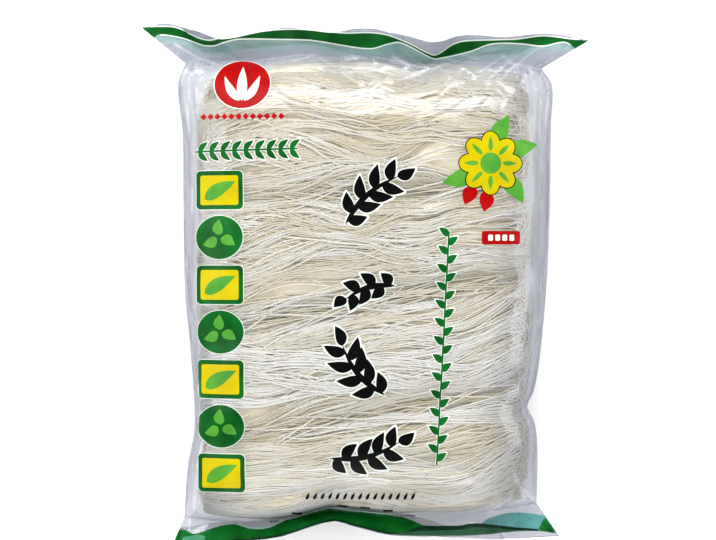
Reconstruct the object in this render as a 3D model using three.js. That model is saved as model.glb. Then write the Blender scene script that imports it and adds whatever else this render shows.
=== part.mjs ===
// A clear, sealed bag of dry glass noodles, lying on its back with its printed front up.
//
// The bag is a film tube, closed by a flat seal at each end. Each seal runs out into a wavy fin,
// wider than the filled body, so that its corners stand out as ears. Four hanks of noodles lie
// across the bag and raise it in four low swells. It is one solid, out to the film's outer face.
//
// Millimetres. +X is to the bag's right, +Y towards its top seal, +Z out of its printed front.
// The origin is at the bottom centre of the bag's box, on the surface that it lies on.

import * as THREE from 'three';

// ---------------------------------------------------------------- driving dimensions

const CROWN_HEIGHT = 72; // highest point of the front above the floor
const CROWN_FALL = 3; // how much lower the bottom hank's crown is than the top one's
const SIDE_HEIGHT = 30; // height of the fold along each side of the body
const UNDERSIDE_PRESS = 7; // how far the soft underside would hang below the floor if it weren't flat
const FILM_PAIR = 1.2; // two films and the air between them, where they lie together

const TOP_FIN = { width: 21, sealHeight: 27, follow: 0.5 }; // follow: share of the edge's waves
const BOTTOM_FIN = { width: 18, sealHeight: 25, follow: 0.5 }; // that reach back to the seal

// Plan outline of the body's two sides, as [y, x] from the bottom seal's end to the top seal's.
const LEFT_SIDE = [
  [-159, -124], [-124, -121.5], [-96, -116.8], [-45, -119.5], [-5, -123.3],
  [60, -124.5], [105, -125], [137, -128.1], [152, -123.3],
];
const RIGHT_SIDE = [
  [-150, 117.8], [-110, 118], [-93, 115.8], [-83, 111.2], [-73, 115.4], [-55, 119],
  [-10, 123.5], [40, 126.2], [110, 127.4], [137, 128.2], [148.5, 121.2],
];

// Plan outline of each fin's free edge, as [x, y] from the left ear's tip to the right one's.
const TOP_EDGE = [
  [-153.4, 176.7], [-136, 179.5], [-116, 173.6], [-99, 167.2], [-75, 171.2], [-51, 175.6],
  [-25, 172], [0, 175.2], [24, 170.6], [48, 165.4], [66, 170.2], [96, 169.2], [127, 171.9],
  [152.7, 166.8],
];
const BOTTOM_EDGE = [
  [-132, -178.3], [-94, -175.2], [-60, -171.9], [-23, -160.8], [-6, -164.6],
  [17, -170.4], [52, -171.8], [98, -174], [133.6, -172.6],
];

// The three valleys between the hanks cross the front at a slant: y at mid-width, and rise per mm.
const VALLEYS = [
  { y: 61, slope: 0.05 },
  { y: -12.5, slope: 0.19 },
  { y: -88.5, slope: 0.19 },
];
const VALLEY_DEPTH = 4.5;
const VALLEY_REACH = 14;

const SECTION_POWER = 2.5; // roundness of the cross-section: 2 is an ellipse, more is boxier
const END_POWER = 5; // how late the body starts to thin towards a seal
const END_POINT = 1.35; // how pointed it meets the seal
const SEAL_BOW = 5; // how much further out a seal lies at mid-width than at the side folds
const WAVE_HOLD = 4; // how late a seal's waves die out towards the side folds
const FIN_CURL = 1.3; // 1 is a flat fin, more bends up later

// The mesh. Crowding 0 spaces the lines evenly, 1 draws them to the folds and the seals.
const COLUMNS = 44;
const COLUMN_CROWDING = 0.75;
const BODY_ROWS = 38;
const ROW_CROWDING = 0.6;
const FIN_ROWS = 5;

// ---------------------------------------------------------------- small helpers

const mix = (a, b, t) => a + (b - a) * t;
const first = (list) => list[0];
const last = (list) => list[list.length - 1];

// Smooth curve through [at, value] points. Beyond the first and the last it stays level.
function through(points, at) {
  const n = points.length;
  if (at <= points[0][0]) return points[0][1];
  if (at >= points[n - 1][0]) return points[n - 1][1];
  let i = 0;
  while (at > points[i + 1][0]) i += 1;
  const slopeAt = (k) => {
    const [before, after] = [points[Math.max(k - 1, 0)], points[Math.min(k + 1, n - 1)]];
    return (after[1] - before[1]) / (after[0] - before[0]);
  };
  const span = points[i + 1][0] - points[i][0];
  const t = (at - points[i][0]) / span;
  return (
    points[i][1] * (1 + 2 * t) * (1 - t) ** 2 +
    points[i + 1][1] * t * t * (3 - 2 * t) +
    slopeAt(i) * span * t * (1 - t) ** 2 +
    slopeAt(i + 1) * span * t * t * (t - 1)
  );
}

// Height of the cross-section, 1 at mid-width (across = 0) and 0 at the side folds (across = ±1).
const section = (across) =>
  Math.max(0, 1 - Math.abs(across) ** SECTION_POWER) ** (1 / SECTION_POWER);

// Fullness of the body along its length, 1 over the hanks and 0 at the seals (along = 0 and 1).
const fullness = (along) =>
  Math.max(0, 1 - Math.abs(2 * along - 1) ** END_POWER) ** (1 / END_POINT);

// Columns lie closer together towards the side folds, where the section turns.
function columnAt(i) {
  const turn = (i / COLUMNS - 0.5) * Math.PI;
  return mix((2 * i) / COLUMNS - 1, Math.sin(turn), COLUMN_CROWDING);
}

// Body rows lie closer together towards the seals.
function rowAt(j) {
  const t = j / BODY_ROWS;
  return mix(t, 0.5 - 0.5 * Math.cos(Math.PI * t), ROW_CROWDING);
}

// ---------------------------------------------------------------- fins and seals

// One end of the bag. out is +1 at the top and -1 at the bottom. The ends of the seal are the
// ends of the side outlines, and the fin's edge spans from ear to ear.
function makeEnd(out, fin, edge) {
  const pick = out > 0 ? last : first;
  const [leftY, leftX] = pick(LEFT_SIDE);
  const [rightY, rightX] = pick(RIGHT_SIDE);
  const middle = edge.reduce((sum, [, y]) => sum + y, 0) / edge.length;

  // The seal follows the edge's waves at a smaller scale, and is straight at the side folds.
  const sealY = (across) => {
    const share = (across + 1) / 2;
    const edgeY = through(edge, mix(first(edge)[0], last(edge)[0], share));
    const inner = 1 - across ** WAVE_HOLD;
    const shift = out * SEAL_BOW + fin.follow * (edgeY - middle);
    return mix(leftY, rightY, share) + shift * inner;
  };

  // away is 0 at the seal and 1 at the free edge. The fin keeps its real width, so it stands up
  // the more where its plan is narrow.
  const point = (across, away) => {
    const share = (across + 1) / 2;
    const sealX = mix(leftX, rightX, share);
    const edgeX = mix(first(edge)[0], last(edge)[0], share);
    const edgeY = through(edge, edgeX);
    const reach = edgeY - sealY(across);
    const rise = Math.sqrt(Math.max(0, fin.width ** 2 - reach ** 2));
    return new THREE.Vector3(
      mix(sealX, edgeX, away),
      mix(sealY(across), edgeY, away),
      fin.sealHeight + rise * away ** FIN_CURL,
    );
  };
  return { sealY, point, sealHeight: fin.sealHeight };
}

const topEnd = makeEnd(1, TOP_FIN, TOP_EDGE);
const bottomEnd = makeEnd(-1, BOTTOM_FIN, BOTTOM_EDGE);

// ---------------------------------------------------------------- the body's two faces

function bodyPlan(across, along) {
  const share = (across + 1) / 2;
  const leftY = mix(first(LEFT_SIDE)[0], last(LEFT_SIDE)[0], along);
  const rightY = mix(first(RIGHT_SIDE)[0], last(RIGHT_SIDE)[0], along);
  return {
    x: mix(through(LEFT_SIDE, leftY), through(RIGHT_SIDE, rightY), share),
    y: mix(bottomEnd.sealY(across), topEnd.sealY(across), along),
  };
}

// Height of the surface midway between the two films, where they would meet if pressed together.
function foldHeight(along) {
  const nearest = along > 0.5 ? topEnd.sealHeight : bottomEnd.sealHeight;
  return mix(nearest, SIDE_HEIGHT, fullness(along));
}

const valleyAt = (x, y) =>
  VALLEYS.reduce(
    (sum, v) => sum + VALLEY_DEPTH * Math.exp(-(((y - v.y - v.slope * x) / VALLEY_REACH) ** 2)),
    0,
  );

function frontPoint(across, along) {
  const { x, y } = bodyPlan(across, along);
  const fold = foldHeight(along);
  const crown = CROWN_HEIGHT - CROWN_FALL * (1 - along) - fold - FILM_PAIR / 2;
  const swell = section(across) * fullness(along);
  const z = fold + swell * (crown - valleyAt(x, y)) + FILM_PAIR / 2;
  return new THREE.Vector3(x, y, z);
}

function backPoint(across, along) {
  const { x, y } = bodyPlan(across, along);
  const fold = foldHeight(along);
  const swell = section(across) * fullness(along);
  const z = fold - swell * (fold + UNDERSIDE_PRESS) - FILM_PAIR / 2;
  return new THREE.Vector3(x, y, Math.max(0, z));
}

function finPoint(end, side) {
  return (across, away) => {
    const point = end.point(across, away);
    point.z += (side * FILM_PAIR) / 2;
    return point;
  };
}

// ---------------------------------------------------------------- closed mesh

// Rows of one face (side +1 front, -1 back), from the bottom fin's edge to the top fin's.
function faceRows(side) {
  const body = side > 0 ? frontPoint : backPoint;
  const bottom = finPoint(bottomEnd, side);
  const top = finPoint(topEnd, side);
  const rows = [];
  const addRow = (pointAt, along) => {
    const row = [];
    for (let i = 0; i <= COLUMNS; i += 1) row.push(pointAt(columnAt(i), along));
    rows.push(row);
  };
  for (let j = FIN_ROWS; j > 0; j -= 1) addRow(bottom, j / FIN_ROWS);
  for (let j = 0; j <= BODY_ROWS; j += 1) addRow(body, rowAt(j));
  for (let j = 1; j <= FIN_ROWS; j += 1) addRow(top, j / FIN_ROWS);
  return rows;
}

// Two faces split into triangles alike, and a narrow band that joins them all the way round.
function bagGeometry() {
  const faces = [faceRows(1), faceRows(-1)];
  const rowCount = faces[0].length;
  const perFace = rowCount * (COLUMNS + 1);
  const positions = faces.flat(2).flatMap((p) => [p.x, p.y, p.z]);
  const front = (i, j) => j * (COLUMNS + 1) + i;
  const back = (i, j) => perFace + front(i, j);
  const index = [];
  const quad = (a, b, c, d) => index.push(a, b, c, a, c, d);

  for (let j = 0; j < rowCount - 1; j += 1) {
    for (let i = 0; i < COLUMNS; i += 1) {
      quad(front(i, j), front(i + 1, j), front(i + 1, j + 1), front(i, j + 1));
      quad(back(i, j), back(i, j + 1), back(i + 1, j + 1), back(i + 1, j));
    }
    quad(back(COLUMNS, j), back(COLUMNS, j + 1), front(COLUMNS, j + 1), front(COLUMNS, j));
    quad(back(0, j + 1), back(0, j), front(0, j), front(0, j + 1));
  }
  const lastRow = rowCount - 1;
  for (let i = 0; i < COLUMNS; i += 1) {
    quad(back(i, 0), back(i + 1, 0), front(i + 1, 0), front(i, 0));
    quad(back(i + 1, lastRow), back(i, lastRow), front(i, lastRow), front(i + 1, lastRow));
  }

  const geometry = new THREE.BufferGeometry();
  geometry.setAttribute('position', new THREE.Float32BufferAttribute(positions, 3));
  geometry.setIndex(index);
  geometry.computeVertexNormals();
  geometry.computeBoundingBox();
  const centre = geometry.boundingBox.getCenter(new THREE.Vector3());
  geometry.translate(-centre.x, -centre.y, -geometry.boundingBox.min.z);
  return geometry;
}

// ---------------------------------------------------------------- the part

const film = new THREE.MeshStandardMaterial({
  name: 'film_over_noodles',
  color: 0xdcd8c8,
  roughness: 0.25,
  metalness: 0,
});

const bag = new THREE.Mesh(bagGeometry(), film);
bag.name = 'noodle_bag';

const part = new THREE.Group();
part.add(bag);

export default part;
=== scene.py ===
"""A clear, printed bag of dry glass noodles, lying on its back and seen from straight above.

The film is one closed mesh on the bag's form, with creases. Inside it lie four hanks of noodles,
each made of strands that run across the bag and turn back at its sides, over a core. The print
is thin ink on the film. Lengths are in millimetres until a mesh is made from them.
"""

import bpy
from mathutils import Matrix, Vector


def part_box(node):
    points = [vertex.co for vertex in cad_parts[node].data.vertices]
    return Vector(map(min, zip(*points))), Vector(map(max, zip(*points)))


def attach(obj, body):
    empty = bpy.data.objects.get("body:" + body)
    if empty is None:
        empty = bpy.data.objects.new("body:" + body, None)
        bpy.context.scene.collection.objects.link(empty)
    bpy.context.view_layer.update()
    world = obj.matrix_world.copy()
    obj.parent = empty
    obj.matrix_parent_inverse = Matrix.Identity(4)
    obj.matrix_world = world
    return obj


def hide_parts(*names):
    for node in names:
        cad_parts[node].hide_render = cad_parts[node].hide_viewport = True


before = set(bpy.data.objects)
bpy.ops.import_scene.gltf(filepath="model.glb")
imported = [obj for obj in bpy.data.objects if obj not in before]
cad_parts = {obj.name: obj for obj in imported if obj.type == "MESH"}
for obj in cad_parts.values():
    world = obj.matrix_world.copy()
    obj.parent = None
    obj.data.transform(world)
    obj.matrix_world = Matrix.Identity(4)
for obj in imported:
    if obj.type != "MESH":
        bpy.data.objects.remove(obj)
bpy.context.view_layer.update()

import math

import bpy
import numpy as np
from mathutils import Vector
from mathutils.geometry import delaunay_2d_cdt

MM = 0.001
SEED = 7

# ---------------------------------------------------------------- driving dimensions, in mm

CROWN_HEIGHT = 72
CROWN_FALL = 3
SIDE_HEIGHT = 30
UNDERSIDE_PRESS = 7
FILM_GAP = 0.5  # between the two films where they lie together
FLOOR_GAP = 0.3  # the flat underside's height above the floor, for the ink and creases

# The sides as (y, x) and the fins' free edges as (x, y), in plan.
LEFT_SIDE = [
    (-159, -124), (-124, -121.5), (-96, -116.8), (-45, -119.5), (-5, -123.3),
    (60, -124.5), (105, -125), (137, -128.1), (152, -123.3),
]
RIGHT_SIDE = [
    (-150, 117.8), (-110, 118), (-93, 115.8), (-83, 111.2), (-73, 115.4), (-55, 119),
    (-10, 123.5), (40, 126.2), (110, 127.4), (137, 128.2), (148.5, 121.2),
]
TOP_EDGE = [
    (-153.4, 176.7), (-136, 179.5), (-116, 173.6), (-99, 167.2), (-75, 171.2), (-51, 175.6),
    (-25, 172), (0, 175.2), (24, 170.6), (48, 165.4), (66, 170.2), (96, 169.2), (127, 171.9),
    (152.7, 166.8),
]
BOTTOM_EDGE = [
    (-132, -178.3), (-94, -175.2), (-60, -171.9), (-23, -160.8), (-6, -164.6),
    (17, -170.4), (52, -171.8), (98, -174), (133.6, -172.6),
]
TOP_FIN = {
    "out": 1, "width": 21, "seal_height": 27,
    "edge": TOP_EDGE, "left": LEFT_SIDE[-1], "right": RIGHT_SIDE[-1],
}
BOTTOM_FIN = {
    "out": -1, "width": 18, "seal_height": 25,
    "edge": BOTTOM_EDGE, "left": LEFT_SIDE[0], "right": RIGHT_SIDE[0],
}

# Edges of the printed bands in plan, as (x, y): the outer and the inner one on the front film,
# and the inner one on the back film, which shows through.
TOP_BAND_OUTER = [
    (-153, 176.6), (-136, 177), (-128, 175.8), (-112, 168.3), (-102, 167.1), (-82, 170.7), (-51, 174.2),
    (-17, 171.6), (4, 172), (15, 170.3), (30, 164.7), (46, 157.3), (52, 159), (59, 163.7),
    (68, 166.3), (101, 167.4), (123, 170.2), (142, 167.6), (152, 166.6),
]
TOP_BAND_INNER = [
    (-144.5, 169.5), (-142, 172), (-126, 169.9), (-111, 164.9), (-102, 164.5), (-86, 167.8), (-59, 168.3),
    (-38, 167.9), (-17, 164.7), (4, 162.4), (15, 165), (24, 166), (46, 155.8), (53, 156.2),
    (72, 160.3), (86, 165), (108, 165.4), (122, 164), (137, 166.3), (145, 160.7),
]
TOP_BAND_BEHIND = [
    (-140, 172), (-118, 165.8), (-111, 159.6), (-91, 160.5), (-61, 163.7), (-38, 165), (-14, 159.6),
    (0, 156.2), (11, 151.6), (20, 155.5), (32, 152), (42, 146.8), (52, 146.8), (66, 152.7),
    (80, 157.5), (106, 159), (113, 163), (131, 165.8), (145, 161),
]
BOTTOM_BAND_INNER = [
    (-130, -168.2), (-124, -168.2), (-117, -170.5), (-102, -166.2), (-91, -164.4), (-78, -167.3),
    (-66, -166.6), (-50, -159.9), (-24.5, -152), (-19, -153.2), (13, -156.1), (28, -160.2),
    (41, -165.1),
]
BOTTOM_BAND_OUTER = [
    (-132, -178), (-94, -175), (-60, -171.7), (-23, -160.8), (-6, -164.4), (17, -170), (28, -169),
    (41, -166.2),
]
FOLD_UPPER = [
    (16, -169.6), (28, -168.6), (38, -165.4), (50, -165.2), (65, -165), (73, -163.7), (82, -164),
    (100, -166.1), (120, -167.8),
]
FOLD_LOWER = [(16, -169.8), (41, -168.2), (65, -167.8), (76, -166.2), (100, -168), (122, -169.2)]
HEM_EDGE = [(10, -168.8), (17, -170.2), (52, -171.3), (80, -171), (100, -169.6), (110, -168.6)]
CORNER_UPPER = [(118, -168), (119.3, -167.4), (123.8, -160), (136, -158)]
CORNER_LOWER = [(118, -168.4), (130, -170.4), (136, -171.2)]
TURNED_UPPER = [(-129, -174.6), (-121, -172.4), (-114, -171.2), (-109, -172.4), (-105, -175)]
TURNED_LOWER = [(-129, -175.4), (-117, -176), (-105, -175.2)]
PATCH_UPPER = [(76, -168), (82, -162), (92, -158), (103, -156.4), (115, -157.1), (127, -159)]
HEM_BEHIND = [(-132, -177), (-60, -171), (-23, -160.2), (17, -169.6), (70, -169.5), (128, -169)]
GLINT_WIDTH = 0.8  # width of the painted highlights, pale lines along the bands
EDGE_WIDTH = 1.1  # width of the painted shade, a dark line along the bottom band's free edge
VEIL_REACH = 6  # how far the top band's faint green shade runs on below its back
BOTTOM_BAND_BEHIND = [
    (-128, -167), (-100, -163), (-72, -162), (-50, -157), (-25, -151.5), (10, -154), (38, -160),
    (58, -166), (64, -170),
]

VALLEYS = [(61, 0.05), (-12.5, 0.19), (-88.5, 0.19)]  # y at mid-width, and rise per mm of x
VALLEY_DEPTH = 4.5
VALLEY_REACH = 14

SECTION_POWER = 2.5
END_POWER = 5
END_POINT = 1.35
SEAL_BOW = 5
EDGE_FOLLOW = 0.5  # how far a seal follows its fin's free edge
WAVE_HOLD = 4
FIN_CURL = 1.3

# Lines of the film's mesh.
COLUMNS = 184
COLUMN_CROWDING = 0.35
BODY_ROWS = 214
ROW_CROWDING = 0.6
FIN_ROWS = 20

# ---------------------------------------------------------------- small helpers


def mix(a, b, t):
    return a + (b - a) * t


def smooth(low, high, at):
    """0 below low and 1 above high, with an even turn between them."""
    t = np.clip((at - low) / (high - low), 0, 1)
    return t * t * (3 - 2 * t)


def through(points, at):
    """Smooth curve through (at, value) points, level beyond the first and the last."""
    knots, values = np.array(points, float).T
    spans, rises = np.diff(knots), np.diff(values)
    inner = (values[2:] - values[:-2]) / (knots[2:] - knots[:-2])
    slopes = np.concatenate([[rises[0] / spans[0]], inner, [rises[-1] / spans[-1]]])
    at = np.clip(at, knots[0], knots[-1])
    i = np.clip(np.searchsorted(knots, at, side="right") - 1, 0, len(knots) - 2)
    t = (at - knots[i]) / spans[i]
    bend = spans[i] * t * (1 - t) * mix(slopes[i], -slopes[i + 1], t)
    return mix(values[i], values[i + 1], t * t * (3 - 2 * t)) + bend


NOISE_CELLS = 64  # in each direction, before the noise repeats


def noise(u, v, seed):
    """Smooth noise from -1 to 1, with about one bump or hollow for each unit of u and v."""
    table = np.random.default_rng(seed).uniform(-1, 1, (NOISE_CELLS, NOISE_CELLS))
    u, v = np.broadcast_arrays(u, v)
    column, row = np.floor(u).astype(int), np.floor(v).astype(int)
    s, t = smooth(0, 1, u - column), smooth(0, 1, v - row)

    def along_row(row):
        low, high = (table[at % NOISE_CELLS, row % NOISE_CELLS] for at in (column, column + 1))
        return mix(low, high, s)

    return mix(along_row(row), along_row(row + 1), t)


def ridges(u, v, seed):
    """Sharp-topped folds from 0 to 1, along the lines where the noise changes sign."""
    return (1 - np.abs(noise(u, v, seed))) ** 6


# ---------------------------------------------------------------- the bag's form


def section(across):
    """Height of the cross-section, 1 at mid-width and 0 at the side folds (across is -1 or 1)."""
    return np.maximum(0, 1 - np.abs(across) ** SECTION_POWER) ** (1 / SECTION_POWER)


def fullness(along):
    """1 over the hanks and 0 at the seals, where along is 0 and 1."""
    return np.maximum(0, 1 - np.abs(2 * along - 1) ** END_POWER) ** (1 / END_POINT)


def side_x(along):
    """x of the left and of the right side."""
    return [through(side, mix(side[0][0], side[-1][0], along)) for side in (LEFT_SIDE, RIGHT_SIDE)]


def seal_y(fin, across):
    share = (across + 1) / 2
    edge = fin["edge"]
    edge_y = through(edge, mix(edge[0][0], edge[-1][0], share))
    shift = fin["out"] * SEAL_BOW + EDGE_FOLLOW * (edge_y - np.mean([y for _, y in edge]))
    return mix(fin["left"][0], fin["right"][0], share) + shift * (1 - across**WAVE_HOLD)


def fin_point(fin, across, away):
    """away is 0 at the seal and 1 at the free edge."""
    share = (across + 1) / 2
    edge = fin["edge"]
    seal = seal_y(fin, across)
    edge_x = mix(edge[0][0], edge[-1][0], share)
    edge_y = through(edge, edge_x)
    rise = np.sqrt(np.maximum(0, fin["width"] ** 2 - (edge_y - seal) ** 2))
    x = mix(mix(fin["left"][1], fin["right"][1], share), edge_x, away)
    return x, mix(seal, edge_y, away), fin["seal_height"] + rise * away**FIN_CURL


def body_plan(across, along):
    x = mix(*side_x(along), (across + 1) / 2)
    return x, mix(seal_y(BOTTOM_FIN, across), seal_y(TOP_FIN, across), along)


def valley_at(x, y):
    return sum(
        VALLEY_DEPTH * np.exp(-(((y - at - slope * x) / VALLEY_REACH) ** 2))
        for at, slope in VALLEYS
    )


def body_height(across, along, side):
    """Height of the front (side 1) or the back (side -1) of the filled body."""
    x, y = body_plan(across, along)
    full = fullness(along)
    nearest = np.where(along > 0.5, TOP_FIN["seal_height"], BOTTOM_FIN["seal_height"])
    fold = mix(nearest, SIDE_HEIGHT, full)
    swell = section(across) * full
    if side > 0:
        crown = CROWN_HEIGHT - CROWN_FALL * (1 - along) - fold
        return fold + swell * (crown - valley_at(x, y))
    return np.maximum(FLOOR_GAP, fold - swell * (fold + UNDERSIDE_PRESS))


def bag_point(across, station, side):
    """A point of the smooth bag. station runs from -1 at the bottom fin's edge, over 0 and 1 at
    the two seals, to 2 at the top fin's edge."""
    across, station = np.broadcast_arrays(across, station)
    along = np.clip(station, 0, 1)
    x, y = body_plan(across, along)
    z = body_height(across, along, side)
    for fin, away in ((BOTTOM_FIN, -station), (TOP_FIN, station - 1)):
        on_fin = away > 0
        fx, fy, fz = fin_point(fin, across, np.clip(away, 0, 1))
        x, y, z = (np.where(on_fin, a, b) for a, b in ((fx, x), (fy, y), (fz, z)))
    return np.stack([x, y, z + side * FILM_GAP / 2], -1)


def locate(x, y):
    """The (across, along) of a plan point on the body."""
    across, along = np.zeros_like(x), np.full_like(x, 0.5)
    for _ in range(4):
        left, right = side_x(along)
        across = np.clip(2 * (x - left) / (right - left) - 1, -1, 1)
        low, high = seal_y(BOTTOM_FIN, across), seal_y(TOP_FIN, across)
        along = np.clip((y - low) / (high - low), 0, 1)
    return across, along


# ---------------------------------------------------------------- creases in the film

BODY_LENGTH = 305  # between the seals
HALF_WIDTH = 120
FIN_START = (-8, 2)  # where the film turns from body to fin, from the seal outwards
TOP_SLACK = 18  # how far the film lies slack from the top seal, and from the bottom one
BOTTOM_SLACK = 7
DEEPEST_DENT = 0.9

EMBLEM = (-83, 136)  # the printed badge, where the film lies smoother
EMBLEM_CALM = 25  # how far round it
RIM_WIDTH = 0.03  # of the half-width, over which the creases die away to the sides
SMALL_FOLDS = 46

# Long folds in the front, as (half-width, height, points in plan).
FOLDS = [
    (1.1, 1.0, [(-143, 172), (-114, 155.5), (-102, 150.7), (-88, 147)]),
    (1.2, 0.7, [(-140, 168), (-124, 150), (-113, 133)]),
    (1.1, 1.0, [(137, 166), (119, 162.5), (111, 157), (102, 149), (95, 142), (84, 136)]),
    (1.1, 0.8, [(24, 165), (46, 152.7), (57, 154.8), (72, 158.6), (96, 162), (123, 163.7)]),
    (1.2, 1.0, [(-86, 165.5), (-68, 166.6), (-51, 166.2)]),
    (1.2, 1.5, [(-68, 137), (-58, 128), (-48, 122), (-12, 116), (24, 114)]),
    (1.1, 1.0, [(-34, 158), (-24, 150), (-14, 148), (-8, 141)]),
    (1.1, 1.1, [(-30, 149), (-20, 143), (-4, 144), (10, 138)]),
    (1.1, 1.1, [(-2, 143), (18, 147), (34, 144), (48, 147)]),
    (1.1, 1.0, [(47, 147), (24, 139), (-6, 135)]),
    (1.1, 1.1, [(47, 146), (30, 151), (14, 158)]),
    (1.1, 0.9, [(2, 126), (40, 130), (72, 140), (90, 146)]),
    (1.1, 1.0, [(104, 157), (78, 134), (58, 121), (40, 112)]),
    (1.1, 0.9, [(118, 148), (103, 134), (94, 120), (90, 104)]),
    (1.1, 0.8, [(50, 147), (66, 143), (84, 146), (104, 144)]),
    (1.3, 0.9, [(112, 150), (116, 132), (115, 112)]),
    (1.4, 1.1, [(121, -152), (106, -138), (99, -124)]),
    (1.3, 1.0, [(-127, -165), (-112, -148), (-108, -132)]),
    (1.2, 0.9, [(84, -155), (98, -146), (103, -132)]),
    (1.2, 0.8, [(-92, -158), (-70, -152), (-46, -151)]),
]


def small_folds():
    """Short straight folds in the slack film under the top seal, most of them aslant."""
    rng = np.random.default_rng(SEED + 60)
    folds = []
    for _ in range(SMALL_FOLDS):
        x, y = rng.uniform(-100, 112), 157 - 42 * rng.random() ** 1.6
        angle = math.radians(rng.choice([-1, 1]) * rng.uniform(8, 55))
        reach = rng.uniform(3, 11)
        dx, dy = reach * math.cos(angle), reach * math.sin(angle)
        points = [(x - dx, y - dy), (x, y + rng.uniform(-1.5, 1.5)), (x + dx, y + dy)]
        folds.append((rng.uniform(0.75, 1.0), rng.uniform(0.5, 1.1), points))
    return folds


def fold_height(x, y, half_width, height, points):
    """A ridge along a line of straight parts, lower towards its two ends."""
    nearest = np.full(np.shape(x), 1e9)
    place = np.zeros(np.shape(x))
    parts = list(zip(points, points[1:]))
    for i, (a, b) in enumerate(parts):
        wx, wy = b[0] - a[0], b[1] - a[1]
        t = np.clip(((x - a[0]) * wx + (y - a[1]) * wy) / (wx * wx + wy * wy), 0, 1)
        away = np.hypot(x - a[0] - t * wx, y - a[1] - t * wy)
        closer = away < nearest
        nearest = np.where(closer, away, nearest)
        place = np.where(closer, (i + t) / len(parts), place)
    taper = smooth(-0.15, 0.2, place) * (1 - smooth(0.75, 1.15, place))
    return height * taper * np.exp(-((nearest / half_width) ** 2))


def film_state(points, across, station):
    """For the front film: how far it stands off the smooth bag, its values for the shader, and where it
    is a fin. The values are how strongly it shows painted glints along its creases and wrinkles, how
    slack it lies (0 over the noodles, 1 at the ends), which the shader also turns into painted shade, how
    near the sides it is and how much fine wrinkling it has."""
    x, y, _ = np.moveaxis(points, -1, 0)
    girth = HALF_WIDTH * np.arcsin(across)
    from_top = np.maximum(0, (1 - station) * BODY_LENGTH)
    from_bottom = np.maximum(0, station * BODY_LENGTH)
    near_end = np.exp(-from_top / TOP_SLACK) + np.exp(-from_bottom / BOTTOM_SLACK)
    near_side = smooth(0.9, 0.99, np.abs(across))
    on_fin = smooth(*FIN_START, np.maximum(station - 1, -station) * BODY_LENGTH)
    calm = np.exp(-((np.hypot(x - EMBLEM[0], y - EMBLEM[1]) / EMBLEM_CALM) ** 4))
    loose = smooth(0.08, 0.7, near_end) * (1 - on_fin) * (1 - calm)

    streaks = 1.1 * noise(girth / 5, y / 50, SEED) + 0.8 * noise(girth / 2.6, y / 28, SEED + 1)
    pleats = 0.9 * noise(x / 8, y / 34, SEED + 2) + 0.6 * noise(x / 3.4, y / 20, SEED + 3)
    web = ridges(x / 12 + y / 17, y / 12 - x / 26, SEED + 4)
    web = web + ridges(x / 10 - y / 15, y / 10 + x / 24, SEED + 5)
    drape = 0.4 * noise(x / 38 + y / 70, y / 15, SEED + 6)
    tension = ridges(x / 90 + y / 50, y / 24 - x / 75, SEED + 7)
    folds = sum(fold_height(x, y, *fold) for fold in [*FOLDS, *small_folds()]) * (1 - calm)
    glint_patches = smooth(-0.1, 0.5, noise(x / 15 + y / 40, y / 11 - x / 60, SEED + 8))

    off = near_side * streaks + near_end * (1 - 0.6 * on_fin) * (1 - 0.7 * calm) * pleats
    off = off + 0.8 * loose * web + (drape + 0.35 * tension) * (1 - on_fin)
    off = np.maximum(off + folds * (0.5 - 0.2 * on_fin), -DEEPEST_DENT)
    # Painted glints: whitish lines along the folds, the tension ridges and the wrinkle web, and glint
    # patches where the film lies slack.
    crease_glint = 0.1 * loose * (web**4 + glint_patches) + 0.2 * tension**3 * (1 - near_side)
    crease_glint = crease_glint + 0.3 * np.minimum(folds / 1.1, 1) ** 2
    # The slack value sets how hazy and how dark the film is in the shader. This is partly for its own
    # layers and partly painted shade of the bag's shadow behind it. It is raised where the ends meet the
    # sides, and most on the top fin.
    end_slack, side_slack = smooth(0.2, 1, near_end), smooth(0.62, 0.96, np.abs(across))
    more = mix(0.5 * end_slack * side_slack, np.where(station > 0.5, 0.85, 0), on_fin)
    values = {
        "crease_glint": np.clip(crease_glint, 0, 1),
        "slack": np.maximum(end_slack, 0.6 * side_slack) + more,
        "side": side_slack,
        "wrinkled": np.clip(end_slack * (1 - on_fin) + 0.5 * near_side, 0, 1),
    }
    return off, values, on_fin


# ---------------------------------------------------------------- film mesh


def crowded(count, crowding):
    """Places from 0 to 1, drawn to both ends."""
    t = np.linspace(0, 1, count + 1)
    return mix(t, 0.5 - 0.5 * np.cos(math.pi * t), crowding)


ACROSS = 2 * crowded(COLUMNS, COLUMN_CROWDING) - 1
AWAY = np.linspace(0, 1, FIN_ROWS + 1)[1:]
STATIONS = np.concatenate([-AWAY[::-1], crowded(BODY_ROWS, ROW_CROWDING), 1 + AWAY])


def grid_normals(grid):
    along_rows = np.gradient(grid, axis=0)
    along_columns = np.gradient(grid, axis=1)
    normals = np.cross(along_columns, along_rows)
    return normals / np.maximum(np.linalg.norm(normals, axis=-1, keepdims=True), 1e-9)


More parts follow.
